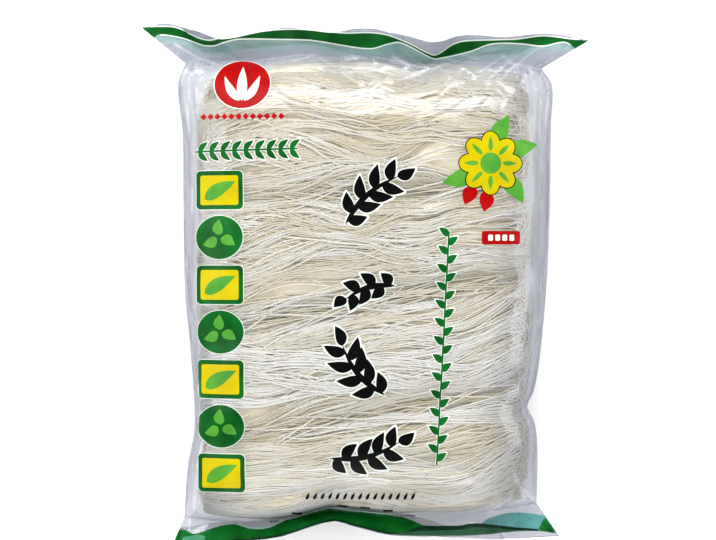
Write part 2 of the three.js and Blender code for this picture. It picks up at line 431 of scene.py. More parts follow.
def creased_sheets():
    """The front and the back film on rows and columns, with their outward normals, and the
    film's values for the shader. On the fins the back follows the front."""
    across, station = np.meshgrid(ACROSS, STATIONS)
    front, back = (bag_point(across, station, side) for side in (1, -1))
    off, values, on_fin = film_state(front, across, station)
    rim = np.minimum(1 - np.abs(across), RIM_WIDTH) / RIM_WIDTH
    off = off * rim
    x, y, z = np.moveaxis(back, -1, 0)
    girth = HALF_WIDTH * np.arcsin(across)
    loose = 0.7 * noise(girth / 6, y / 30, SEED + 50)
    loose = loose + 0.7 * ridges(x / 16 + y / 30, y / 18, SEED + 51)
    off_back = mix(loose * rim * smooth(0.5, 14, z) + 0.2, -off, on_fin)
    front = front + off[..., None] * grid_normals(front)
    back = back - off_back[..., None] * grid_normals(back)
    for rim_line in (np.s_[:, 0], np.s_[:, -1], np.s_[0, :], np.s_[-1, :]):
        meeting = (front[rim_line] + back[rim_line]) / 2
        front[rim_line] = meeting
        back[rim_line] = meeting
    return front, back, grid_normals(front), -grid_normals(back), values


FRONT, BACK, FRONT_NORMALS, BACK_NORMALS, FILM_VALUES = creased_sheets()


def shift_to_frame():
    """Moves the film's plan centre to the CAD box's, so that both share one origin."""
    low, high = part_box("noodle_bag")
    plan = bag_point(*np.meshgrid(ACROSS, STATIONS), 1)[..., :2].reshape(-1, 2)
    x, y = (plan.min(0) + plan.max(0)) / 2
    return np.array([(low.x + high.x) / 2 / MM - x, (low.y + high.y) / 2 / MM - y, 0])


SHIFT = shift_to_frame()


def on_film(across, station, side, lift):
    """Points on the creased film, lift mm outside it."""
    grid, normals = (FRONT, FRONT_NORMALS) if side > 0 else (BACK, BACK_NORMALS)
    column = np.interp(across, ACROSS, np.arange(len(ACROSS)))
    row = np.interp(station, STATIONS, np.arange(len(STATIONS)))
    i = np.clip(column.astype(int), 0, len(ACROSS) - 2)
    j = np.clip(row.astype(int), 0, len(STATIONS) - 2)
    s, t = (column - i)[..., None], (row - j)[..., None]

    def blend(values):
        low, high = (mix(values[at, i], values[at, i + 1], s) for at in (j, j + 1))
        return mix(low, high, t)

    return blend(grid) + lift * blend(normals)


def on_front(plan, lift):
    """Plan points of the print, laid on the front film."""
    across, along = locate(plan[:, 0], plan[:, 1])
    return on_film(across, along, 1, lift)


# ---------------------------------------------------------------- meshes and pieces


def make_mesh(name, points, faces, **values):
    """A smooth-shaded mesh object from points in mm and equal-sided faces, with named values
    for each point."""
    points = (np.asarray(points, float).reshape(-1, 3) + SHIFT) * MM
    faces = np.asarray(faces, np.int32)
    mesh = bpy.data.meshes.new(name)
    mesh.vertices.add(len(points))
    mesh.vertices.foreach_set("co", points.astype(np.float32).ravel())
    mesh.loops.add(faces.size)
    mesh.loops.foreach_set("vertex_index", faces.ravel())
    mesh.polygons.add(len(faces))
    mesh.polygons.foreach_set("loop_start", np.arange(0, faces.size, faces.shape[1], dtype=np.int32))
    mesh.polygons.foreach_set("use_smooth", np.ones(len(faces), bool))
    for key, value in values.items():
        mesh.attributes.new(key, "FLOAT", "POINT").data.foreach_set("value", value.astype(np.float32))
    mesh.update(calc_edges=True)
    mesh.validate()
    return add_object(name, mesh)


def add_object(name, data):
    made = bpy.data.objects.new(name, data)
    bpy.context.scene.collection.objects.link(made)
    return made


def add_piece(piece, material):
    piece.data.materials.append(material)
    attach(piece, "root")
    return piece


def grid_faces(at):
    """Quads of a grid of point numbers, facing along x cross y."""
    return np.stack([at[:-1, :-1], at[:-1, 1:], at[1:, 1:], at[1:, :-1]], -1).reshape(-1, 4)


def make_film(material):
    """Front and back in one closed mesh: they share the points round their rim."""
    rows, columns = len(STATIONS), len(ACROSS)
    front_at = np.arange(rows * columns).reshape(rows, columns)
    back_at = front_at.copy()
    inner = (rows - 2) * (columns - 2)
    back_at[1:-1, 1:-1] = rows * columns + np.arange(inner).reshape(rows - 2, columns - 2)

    def both(front, back):
        return np.concatenate([front.reshape(rows * columns, -1), back[1:-1, 1:-1].reshape(inner, -1)])

    points = both(FRONT, BACK)
    faces = np.concatenate([grid_faces(front_at), grid_faces(back_at)[:, ::-1]])
    values = {key: both(value, value).ravel() for key, value in FILM_VALUES.items()}
    film = make_mesh("film", points, faces, **values)
    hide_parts("noodle_bag")
    return add_piece(film, material)


# ---------------------------------------------------------------- noodles

HANKS = 4
STRAND_RADIUS = 0.5
STRAND_SIDES = 3
LEFT_END = -114
RIGHT_END = 112
END_ROUNDING = 4  # how much shorter a hank is at its two edges than along its middle
NOODLE_GAP = 1.9  # from the smooth film in to the outermost strands
SEAL_MARGIN = 3  # from the noodles to the seals, in plan
SIDE_MARGIN = 5  # from the noodles to the bag's sides, in plan
HANK_OVERLAP = 4.5
PARTING_WIDTH = 5.5
PARTINGS = [(0, 42, 14), (1, -44, 30), (1, 54, 30), (2, 50, 26), (2, -40, 22)]  # valley, x, reach
HANK_GIRTH = 240
HANK_POWER = 5  # roundness of a hank's section
HANK_DEPTH = 30  # from a hank's outer face to its middle
LEG_POINTS = 29
TURN_POINTS = 9
PATHS_PER_HANK = 400
LOCKS = 46
SWAY = 8  # how far neighbouring strands wander together
SWAY_LENGTH = 62
LOOSE_SHARE = 0.22  # share of the strands that leave their lock

TOP_OF_NOODLES = [
    (-114, 140), (-80, 148), (-40, 152), (0, 153), (30, 154), (60, 154), (92, 154), (112, 151),
]
BOTTOM_OF_NOODLES = [
    (-112, -158), (-60, -163), (-23, -156), (12, -159), (55, -165), (88, -164), (110, -154),
]


def valley_edge(k, x, side):
    """Edge of the hank above (side -1) or below (side 1) valley k. Both reach over the valley's
    line, less where they part."""
    at, slope = VALLEYS[k]
    part = sum(np.exp(-(((x - px) / reach) ** 2)) for valley, px, reach in PARTINGS if valley == k)
    return at + slope * x + side * (HANK_OVERLAP - PARTING_WIDTH * part)


def hank_edges(k, x):
    """The lower and upper edge of hank k in plan, counted from the top one."""
    across = np.clip(2 * (x - LEFT_END) / (RIGHT_END - LEFT_END) - 1, -1, 1)
    if k == 0:
        upper = np.minimum(through(TOP_OF_NOODLES, x), seal_y(TOP_FIN, across) - SEAL_MARGIN)
    else:
        upper = valley_edge(k - 1, x, 1)
    if k < HANKS - 1:
        return valley_edge(k, x, -1), upper
    lower = np.maximum(through(BOTTOM_OF_NOODLES, x), seal_y(BOTTOM_FIN, across) + SEAL_MARGIN)
    return lower, upper


def section_table():
    """A hank's section as t across it and s upwards, each from -1 to 1, by the share of the way
    round from its lower edge in plan."""
    angle = np.linspace(0, 2 * math.pi, 1441)
    c, s = np.cos(angle), np.sin(angle)
    t = -np.sign(c) * np.abs(c) ** (2 / HANK_POWER)
    s = np.sign(s) * np.abs(s) ** (2 / HANK_POWER)
    way = np.concatenate([[0], np.cumsum(np.hypot(np.diff(t), np.diff(s)))])
    return way / way[-1], t, s


SECTION = section_table()


def around_hank(share):
    """(t, s) on the section. Shares from 0 to 0.5 are on the front, and from 0.5 to 1 under it."""
    way, t, s = SECTION
    share = share % 1
    return np.interp(share, way, t), np.interp(share, way, s)


def place_in_hank(k, x, t, s, inset):
    """Points of hank k. inset is the depth below the hank's outer face."""
    lower, upper = hank_edges(k, x)
    inward = np.clip(1 - inset / HANK_DEPTH, 0, 1)
    y = (lower + upper) / 2 + t * inward * (upper - lower) / 2 * 0.99
    _, along = locate(x, y)
    left, right = side_x(along)
    x = np.clip(x, left + SIDE_MARGIN, right - SIDE_MARGIN)
    across = 2 * (x - left) / (right - left) - 1
    front = body_height(across, along, 1) - NOODLE_GAP
    back = body_height(across, along, -1) + NOODLE_GAP
    rise = np.clip(s * inward, -1, 1) * (front - back) / 2
    return np.stack([x, y, (front + back) / 2 + rise], -1)


def lock_tracks(rng, count, low, high):
    """Locks of strands: where each lies on the section at its left and right end, as shares of
    the way round, its depth and its slow waves."""
    middle = (rng.permutation(count) + rng.random(count)) / count * (high - low) + low
    drift = rng.normal(0, 0.035, count)
    return {
        "left": np.clip(middle - drift, low, high),
        "right": np.clip(middle + drift, low, high),
        "depth": rng.uniform(0, 2.8, count),
        "wave": rng.uniform(0.6, 4.5, count),
        "length": rng.uniform(70, 170, count),
        "phase": rng.uniform(0, 2 * math.pi, count),
        "tone": rng.normal(0, 1.1, count),
    }


def leg(rng, tracks, pick, x, k):
    """(t, s, depth) of hank k's legs along x, which follow their locks with a little way of
    their own. x has a row for each leg."""
    each = (len(pick), 1)
    lock = {key: values[pick][:, None] for key, values in tracks.items()}
    share = mix(lock["left"], lock["right"], smooth(LEFT_END, RIGHT_END, x))
    flow = SWAY * noise(x / SWAY_LENGTH + 7, share * 9, SEED + 30 + k)
    wave = lock["wave"] * np.sin(2 * math.pi * x / lock["length"] + lock["phase"])
    spread = np.where(rng.random(each) < LOOSE_SHARE, 5.5, 1.6)
    own = spread * (rng.normal(0, 1, each) + rng.normal(0, 1, each) * x / RIGHT_END)
    fine_length, fine_phase = rng.uniform(30, 70, each), rng.uniform(0, 2 * math.pi, each)
    fine = rng.normal(0, 0.7, each) * np.sin(2 * math.pi * x / fine_length + fine_phase)
    t, s = around_hank(share + (flow + wave + own + fine) / HANK_GIRTH)
    depth = lock["depth"] + np.abs(rng.normal(0, 0.6, each))
    depth = depth + 0.6 * np.sin(2 * math.pi * x / (lock["length"] * 0.7) + lock["phase"] * 3)
    return t, s, np.maximum(depth, 0)


def strand_paths(k, rng, count):
    """Paths of hank k's strands, each a leg out, a turn and a leg back. Half of them turn at the
    right end. Over half turn back on the same face, and the rest go round to the other one."""
    top = lock_tracks(rng, LOCKS, 0.0, 0.5)
    under = lock_tracks(rng, LOCKS // 2, 0.5, 1.0)
    out = rng.integers(0, LOCKS, count)
    same_face = (rng.random(count) < 0.7)[:, None]
    back_top = rng.integers(0, LOCKS, count)
    back_under = rng.integers(0, LOCKS // 2, count)
    each = (count, 1)
    way = np.where(rng.random(each) < 0.5, 1, -1)  # 1 for a turn at the right end
    free_end = np.where(way > 0, LEFT_END, RIGHT_END) + way * rng.uniform(0, 10, each)
    turn_end = np.where(way > 0, RIGHT_END, LEFT_END) - way * rng.uniform(0, 9, each)
    bulge = rng.uniform(6, 24, each)
    turn_start = turn_end - way * bulge

    x_out = mix(free_end, turn_start, np.linspace(0, 1, LEG_POINTS))
    theta = np.linspace(-math.pi / 2, math.pi / 2, TURN_POINTS + 2)[1:-1]
    x = np.concatenate([x_out, turn_start + way * bulge * np.cos(theta), x_out[:, ::-1]], 1)
    weight = np.concatenate([np.zeros(LEG_POINTS), (1 + np.sin(theta)) / 2, np.ones(LEG_POINTS)])

    picks = ((top, out), (top, back_top), (under, back_under))
    legs = [leg(rng, tracks, pick, x, k) for tracks, pick in picks]
    t, s, depth = (mix(a, np.where(same_face, b, c), weight) for a, b, c in zip(*legs))
    x = x - np.sign(x) * END_ROUNDING * np.abs(t) ** 4 * smooth(50, 110, np.abs(x))
    tone = mix(top["tone"][out][:, None], top["tone"][back_top][:, None], weight)
    # Deeper strands get a darker, tanner colour: painted shade of the hank's depths, over each strand's
    # own random lightness.
    tone = 0.65 * tone + 0.3 * rng.normal(0, 1, each) + 0.95 - 0.52 * depth
    return place_in_hank(k, x, t, s, depth), tone


def tubes(paths, radius):
    """Points and faces of closed tubes along paths, an array of path by point by 3."""
    count, steps = paths.shape[:2]
    tangent = np.gradient(paths, axis=1)
    tangent /= np.maximum(np.linalg.norm(tangent, axis=-1, keepdims=True), 1e-9)
    side = np.cross(tangent, np.array([0.03, 0.05, 1.0]))
    side /= np.maximum(np.linalg.norm(side, axis=-1, keepdims=True), 1e-9)
    up = np.cross(side, tangent)
    turn = 2 * math.pi * np.arange(STRAND_SIDES) / STRAND_SIDES + math.pi / 2
    ring = np.cos(turn)[:, None] * side[:, :, None] + np.sin(turn)[:, None] * up[:, :, None]
    points = paths[:, :, None] + radius[:, None, None, None] * ring
    at = np.arange(count * steps * STRAND_SIDES).reshape(count, steps, STRAND_SIDES)
    after = np.roll(at, -1, axis=2)
    walls = np.stack([at[:, :-1], after[:, :-1], after[:, 1:], at[:, 1:]], -1).reshape(-1, 4)
    return points.reshape(-1, 3), np.concatenate([split(walls), at[:, 0, ::-1], at[:, -1]])


def split(quads):
    return np.concatenate([quads[:, [0, 1, 2]], quads[:, [0, 2, 3]]])


def add_strands(name, paths, thickness, tone, material):
    """Strands as one piece. Each has a thickness, as a factor, and a colour value, which may vary along
    it. The colour value is the strand's own random lightness, with painted shade where it lies deeper."""
    points, faces = tubes(paths, STRAND_RADIUS * thickness)
    tone = np.repeat(np.broadcast_to(tone, paths.shape[:2]), STRAND_SIDES, axis=1).ravel()
    return add_piece(make_mesh(name, points, faces, tone=tone), material)


def make_hank(k, material):
    rng = np.random.default_rng(SEED * 100 + k)
    paths, tone = strand_paths(k, rng, PATHS_PER_HANK)
    thickness = rng.uniform(0.85, 1.15, len(paths))
    return add_strands(f"noodle_hank_{k + 1}", paths, thickness, tone, material)


CORE_SPREAD = 1.22  # neighbouring cores meet under the valleys
CORE_SIDES = 40
CORE_ROWS = 44
CORE_INSET = 9  # from a hank's ends
CORE_DEPTH = 5  # under a hank's outer face


def make_core(k, material):
    """The hidden inside of a hank, a ribbed body some strands deep."""
    rows = np.linspace(LEFT_END + CORE_INSET, RIGHT_END - CORE_INSET, CORE_ROWS)
    shares = np.linspace(0, 1, CORE_SIDES, endpoint=False)
    x, share = np.meshgrid(rows, shares, indexing="ij")
    t, s = around_hank(share)
    nose = np.sqrt(np.clip(1 - ((x + 1) / (RIGHT_END - 8)) ** 8, 0, 1))
    inset = CORE_DEPTH + 1.2 * noise(share * 56, x / 60, SEED + 20 + k)
    points = place_in_hank(k, x, t * CORE_SPREAD * mix(0.5, 1, nose), s * nose, inset)
    at = np.arange(x.size).reshape(x.shape)
    after = np.roll(at, -1, axis=1)
    walls = np.stack([at[:-1], at[1:], after[1:], after[:-1]], -1).reshape(-1, 4)
    ends = points[[0, -1]].mean(1)
    first, last = np.full(CORE_SIDES, x.size), np.full(CORE_SIDES, x.size + 1)
    fans = [np.stack([first, at[0], after[0]], -1), np.stack([last, after[-1], at[-1]], -1)]
    points = np.concatenate([points.reshape(-1, 3), ends])
    core = make_mesh(f"hank_core_{k + 1}", points, np.concatenate([split(walls), *fans]))
    return add_piece(core, material)


DEEP_STRAYS = 60  # strands in the depth of each valley
LOOSE_STRAYS = 12  # strands over each valley, close under the film
STRAY_POINTS = 20
STRAY_END = 104  # the farthest from mid-width that a stray reaches


def make_strays(material):
    """Single strands that lie along the valleys, a little aslant."""
    rng = np.random.default_rng(SEED * 100 + 9)
    per_valley = DEEP_STRAYS + LOOSE_STRAYS
    count = per_valley * len(VALLEYS)
    each = (count, 1)
    middle, slope = np.repeat(np.array(VALLEYS), per_valley, axis=0).T[:, :, None]
    loose = (np.arange(count) % per_valley >= DEEP_STRAYS)[:, None]
    start, length = rng.uniform(-106, 60, each), rng.uniform(40, 130, each)
    x = np.clip(start + length * np.linspace(0, 1, STRAY_POINTS), -STRAY_END, STRAY_END)
    tilt = np.where(loose, rng.uniform(6, 15, each), rng.uniform(1, 8, each))
    tilt = tilt * rng.choice([-1, 1], each)
    share = np.linspace(-1, 1, STRAY_POINTS)
    height, wave_length = rng.uniform(0, 1.4, each), rng.uniform(9, 18, each)
    wave = height * np.sin(x / wave_length + rng.uniform(0, 6, each))
    y = middle + slope * x + tilt * share + rng.normal(0, 2.5, each) + wave
    across, along = locate(x, y)
    close = 1.2 + rng.uniform(0, 2.5, each) + 3.5 * share**2
    deep = rng.uniform(3, 9, each)
    z = body_height(across, along, 1) - NOODLE_GAP - np.where(loose, close, deep)
    thickness = rng.uniform(0.9, 1.2, count)
    # Deep strays are darker, as painted shade in the valleys. The loose ones under the film are pale.
    tone = np.where(loose, 1.1, -0.5) + rng.normal(0, 0.5, each)
    return add_strands("stray_noodles", np.stack([x, y, z], -1), thickness, tone, material)


# ---------------------------------------------------------------- print shapes, in plan

INK_LIFT = 0.16
INK_STEP = 1.5  # spacing of the points that let the ink follow the film
OUTLINE_STEP = 1.6  # the same along an outline
BAND_ZONE = 0.14  # the bands lie this near to a seal or past it, as a station


def turned(points, degrees):
    c, s = math.cos(math.radians(degrees)), math.sin(math.radians(degrees))
    return np.asarray(points, float) @ np.array([[c, s], [-s, c]])


def toward(degrees):
    return np.array([math.cos(math.radians(degrees)), math.sin(math.radians(degrees))])


def circle(centre, rx, ry=None, turn=0.0, count=36):
    angle = np.linspace(0, 2 * math.pi, count, endpoint=False)
    points = np.stack([rx * np.cos(angle), (ry or rx) * np.sin(angle)], -1)
    return turned(points, turn) + centre


def rounded_bar(centre, width, height, corner, turn=0.0, grow=0.0):
    """A rectangle with round corners, grown by grow on every side."""
    points = []
    for k, (sx, sy) in enumerate(((1, 1), (-1, 1), (-1, -1), (1, -1))):
        angle = np.linspace(k * math.pi / 2, (k + 1) * math.pi / 2, 6)
        at = np.array([sx * (width / 2 - corner), sy * (height / 2 - corner)])
        points.append(at + (corner + grow) * np.stack([np.cos(angle), np.sin(angle)], -1))
    return turned(np.concatenate(points), turn) + centre


def leaf(base, tip, width, bend=0.0, grow=0.0):
    """A pointed leaf or brush stroke from base to tip, fullest before its middle."""
    base, tip = np.array(base, float), np.array(tip, float)
    way = tip - base
    length = np.hypot(*way)
    forward = way / length
    aside = np.array([-forward[1], forward[0]])
    t = np.linspace(0, 1, 14)
    middle = base - forward * grow * 1.6 + np.outer(t, forward * (length + grow * 4.2))
    middle = middle + np.outer(np.sin(math.pi * t) * bend, aside)
    half = width / 2 * np.sin(math.pi * t**0.72) ** 0.9 + grow
    half[[0, -1]] = 0.02
    left = middle + half[:, None] * aside
    right = middle - half[:, None] * aside
    return np.concatenate([right, left[::-1][1:-1]])


def dense(outline):
    """The outline with extra points, so that no side is longer than OUTLINE_STEP."""
    points = []
    for a, b in zip(outline, np.roll(outline, -1, axis=0)):
        parts = max(1, int(np.ceil(np.hypot(*(b - a)) / OUTLINE_STEP)))
        points.append(a + (b - a) * (np.arange(parts) / parts)[:, None])
    return np.concatenate(points)


def inside(points, outline):
    """Which points lie inside the outline."""
    x, y = points[:, :1], points[:, 1:]
    ax, ay = outline.T
    bx, by = np.roll(outline, -1, axis=0).T
    crossing = (ay > y) != (by > y)
    at = ax + (y - ay) * (bx - ax) / np.where(by == ay, 1e-9, by - ay)
    return (crossing & (x < at)).sum(1) % 2 == 1


def filled(outline):
    """Plan points and triangles of a filled outline, with points inside it to bend on."""
    outline = dense(np.asarray(outline, float))
    low, high = outline.min(0), outline.max(0)
    xs = np.arange(low[0] + INK_STEP / 2, high[0], INK_STEP)
    ys = np.arange(low[1] + INK_STEP / 2, high[1], INK_STEP)
    loose = np.stack(np.meshgrid(xs, ys), -1).reshape(-1, 2)
    loose = loose[inside(loose, outline)] if len(loose) else loose
    corners = [Vector(p) for p in np.concatenate([outline, loose])]
    ring = list(range(len(outline)))
    points, _, faces, _, _, _ = delaunay_2d_cdt(corners, [], [ring], 1, 1e-4)
    points = np.array([tuple(p) for p in points])
    return points, np.array([f for f in faces if len(f) == 3])


def make_ink(name, outlines, level, material):
    """One colour of the print: every outline filled and laid on the front film, level layers up."""
    points, faces, start = [], [], 0
    for outline in outlines:
        plan, triangles = filled(outline)
        points.append(on_front(plan, INK_LIFT * level))
        faces.append(triangles + start)
        start += len(plan)
    piece = make_mesh(name, np.concatenate(points), np.concatenate(faces))
    piece.visible_shadow = False  # the ink lies too close over the noodles to shade them
    return add_piece(piece, material)


def stations_of(line, side):
    """For each column of the film's mesh, the station where the film crosses a line in plan."""
    grid = FRONT if side > 0 else BACK
    rows = STATIONS > 1 - BAND_ZONE if line[0][1] > 0 else STATIONS < BAND_ZONE
    x, y = grid[rows, :, 0], grid[rows, :, 1]
    above = np.maximum.accumulate(y - through(line, x), axis=0)
    return np.array([np.interp(0, above[:, j], STATIONS[rows]) for j in range(len(ACROSS))])


def make_band(inks, name, side, inner, outer, ink, ends, level):
    """A band along a fin, of print, painted shade or painted highlight as its ink gives, between two
    lines in plan and from end to end, which are shares of the half-width. The bands on the back film are
    on its inner face. Its value "strength" runs from 0 at the inner line to 1 at the outer one."""
    near, far = stations_of(inner, side), stations_of(outer, side)
    columns = (ACROSS >= ends[0]) & (ACROSS <= ends[1])
    rows = 4 + int(np.abs(far - near)[columns].max() * FIN_ROWS)
    run = np.linspace(0, 1, rows)
    station = mix(near[None, columns], far[None, columns], run[:, None])
    across = np.broadcast_to(ACROSS[columns], station.shape)
    points = on_film(across, station, side, side * level * INK_LIFT)
    faces = grid_faces(np.arange(station.size).reshape(station.shape))
    band = make_mesh(name, points, faces, strength=np.repeat(run, station.shape[1]))
    return add_piece(band, inks[ink])


def beside(line, away):
    """A line in plan, moved up or down."""
    return [(x, y + away) for x, y in line]


# The layout of the print. Places are (x, y) in plan.
LEAF_ROW = ((-115, 90), (-45, 91.5))
COLUMN_FOOT = (-97, -127)
COLUMN_HEAD = (-98, 64)
COLUMN_TILES = 7
VINE = ((56, 36), (48, -121))
VINE_LEAVES = 26
ROSETTE = (84, 82)
LABEL = (91, 32)
RULE = (-4, -142.5)


def emblem_shapes():
    """A round badge with a sheaf of three blades in it, over a row of beads."""
    x, y = EMBLEM
    blades = [
        leaf((x, y - 12), (x, y + 12), 7),
        leaf((x - 1.5, y - 12), (x - 12, y + 5), 5.5, 1.5),
        leaf((x + 1.5, y - 12), (x + 12, y + 5), 5.5, -1.5),
    ]
    beads = [rounded_bar((x - 26 + 4.8 * i, y - 22.5), 3.2, 3.2, 0.5, 45) for i in range(12)]
    return circle(EMBLEM, 19, 17), circle(EMBLEM, 19.6, 17.6), blades, beads


def leaf_row_shapes(grow=0.0):
    """A straight stem with slanted leaves in pairs."""
    start, end = (np.array(p, float) for p in LEAF_ROW)
    shapes = [rounded_bar((start + end) / 2, 70, 1.3, 0.6, 1.2, grow)]
    for i in range(9):
        root = mix(start, end, (i + 0.35) / 9)
        shapes.append(leaf(root, root + (6.5, 6.6), 4, 0.6, grow))
        shapes.append(leaf(root, root + (6.5, -6.6), 4, -0.6, grow))
    return shapes


def column_shapes():
    """Tiles down the left side: discs with three leaves, and squares with a yellow pane, in turn.
    The shapes are dark, outline, yellow and light green ones."""
    dark, rims, yellow, light = [], [], [], []
    head, foot = np.array(COLUMN_HEAD, float), np.array(COLUMN_FOOT, float)
    for i in range(COLUMN_TILES):
        middle = mix(head, foot, i / (COLUMN_TILES - 1))
        if i % 2:
            dark.append(circle(middle, 16, 14.6))
            rims.append(circle(middle, 16.4, 15))
            for angle in (90, 205, 335):
                root = middle + 1.5 * toward(angle)
                light.append(leaf(root, root + 10.5 * toward(angle), 7.2, 1))
        else:
            dark.append(rounded_bar(middle, 32, 26, 3))
            rims.append(rounded_bar(middle, 32, 26, 3, grow=0.4))
            yellow.append(rounded_bar(middle, 26, 20, 1.5))
            light.append(leaf(middle + (-10, -6), middle + (11, 6), 9, 1))
    return dark, rims, yellow, light


# Brush sprigs, as (middle, direction in degrees, length, bend, leaf length, number of leaves).
SPRIGS = [
    ((5, 57), 42, 50, 5, 17, 9),
    ((3, -5), 196, 36, -4, 13, 7),
    ((-1, -56), 130, 46, 5, 18, 9),
    ((0, -110), 14, 50, -5, 16, 9),
]
STEM_WIDTH = 4
BLADE_WIDTH = 7.6
BLADE_ANGLE = 48  # between a leaf and its stem


def sprig_shapes(grow=0.0):
    """Curved stems with pointed leaves on alternate sides and one at the tip."""
    shapes = []
    for middle, direction, length, bend, leaf_length, count in SPRIGS:
        middle, forward, aside = np.array(middle), toward(direction), toward(direction + 90)
        start, tip = middle - forward * length / 2, middle + forward * length / 2
        shapes.append(leaf(start, tip, STEM_WIDTH, bend, grow))
        for i in range(count):
            share = (i + 0.6) / count
            root = mix(start, tip, share) + aside * bend * math.sin(math.pi * share)
            curve = math.degrees(math.atan(bend * math.pi / length * math.cos(math.pi * share)))
            turn = 0 if i == count - 1 else BLADE_ANGLE * (1 if i % 2 else -1)
            size = leaf_length * (0.75 + 0.25 * math.sin(math.pi * share))
            way = toward(direction + curve + turn)
            shapes.append(leaf(root, root + size * way, BLADE_WIDTH, 1.2 if i % 2 else -1.2, grow))
    return shapes


def vine_shapes(grow=0.0):
    """A long stem with small leaves on alternate sides."""
    top, foot = (np.array(p, float) for p in VINE)
    length = np.hypot(*(foot - top))
    tilt = math.degrees(math.atan2(foot[1] - top[1], foot[0] - top[0]))
    shapes = [rounded_bar((top + foot) / 2, length, 1.2, 0.5, tilt, grow)]
    for i in range(VINE_LEAVES):
        root = mix(top, foot, (i + 0.5) / VINE_LEAVES)
        side = 1 if i % 2 else -1
        shapes.append(leaf(root, root + (6.6 * side, 5.6), 4.8, 0.6 * side, grow))
    return shapes


def rosette_shapes():
    """An open flower over leaves, with two buds under it: outlines, petals, their inner marks,
    leaves and buds."""

    def ray(angle, start, end, width, bend=0.0):
        return leaf(ROSETTE + start * toward(angle), ROSETTE + end * toward(angle), width, bend)

    angles = [45 * i for i in range(8)]
    petals, outlines = (
        [circle(ROSETTE + 13 * toward(a), length, width, a, 24) for a in angles]
        for length, width in ((8.2, 6.2), (8.9, 6.9))
    )
    marks = [ray(a, 8, 18, 3) for a in angles]
    leaves = [ray(a, 12, 35, 12, 2) for a in (22, 68, 202, 310)]
    buds = [ray(262, 19, 33, 10, 1), ray(238, 19, 33, 10, -1)]
    return outlines, petals, marks, leaves, buds


def small_marks():
    """The broken rule low on the front, and the marks over the bottom band."""
    x, y = RULE
    dashes = [leaf((x - 36 + 5.1 * i, y - 2.6), (x - 33.6 + 5.1 * i, y + 2.6), 2.1) for i in range(15)]
    places = [-62 + 15.5 * i for i in range(9) if i != 2]
    marks = [rounded_bar((at, through(BOTTOM_BAND_INNER, at) + 3.5), 7, 1.3, 0.4, -4) for at in places]
    return dashes + marks


def add_print(inks):
    """Every printed shape, then the bands, among them strips of painted shade and painted highlight.
    Later layers lie over earlier ones.
    """
    badge, badge_edge, blades, beads = emblem_shapes()
    tiles, tile_rims, panes, tile_leaves = column_shapes()
    petal_rims, petals, petal_marks, rosette_leaves, buds = rosette_shapes()
    label = rounded_bar(LABEL, 26, 9, 1.5)
    label_bars = [rounded_bar(np.add(LABEL, (4.8 * i - 7.2, 0)), 3.2, 4, 0.6) for i in range(4)]
    rims = [badge_edge, *tile_rims, *sprig_shapes(0.6), *leaf_row_shapes(0.35), *vine_shapes(0.35)]
    for name, outlines, level, slot in (
        ("print_outline", rims, 1, "white_ink"),
        ("print_green", [*tiles, *leaf_row_shapes(), *vine_shapes()], 2, "green_ink"),
        ("print_leaves", rosette_leaves, 2, "light_green_ink"),
        ("print_red", [badge, label, *beads, *buds], 2, "red_ink"),
        ("print_black", [*sprig_shapes(), *small_marks(), *petal_rims], 3, "black_ink"),
        ("print_yellow", [*panes, *petals], 4, "yellow_ink"),
        ("print_light_green", [*tile_leaves, *petal_marks, circle(ROSETTE, 7)], 5, "light_green_ink"),
        ("print_white", [*blades, *label_bars], 5, "white_ink"),
    ):
        make_ink(name, outlines, level, inks[slot])
    for band in BANDS:
        make_band(inks, *band)


ALL_ACROSS = (-1, 1)
NEARLY_ALL = (-0.97, 0.97)
TOP_VEIL_EDGE = beside(TOP_BAND_BEHIND, -VEIL_REACH)
BOTTOM_BAND_RIM = beside(BOTTOM_BAND_OUTER, EDGE_WIDTH)
BOTTOM_GLINT_EDGE = beside(BOTTOM_BAND_INNER, GLINT_WIDTH)

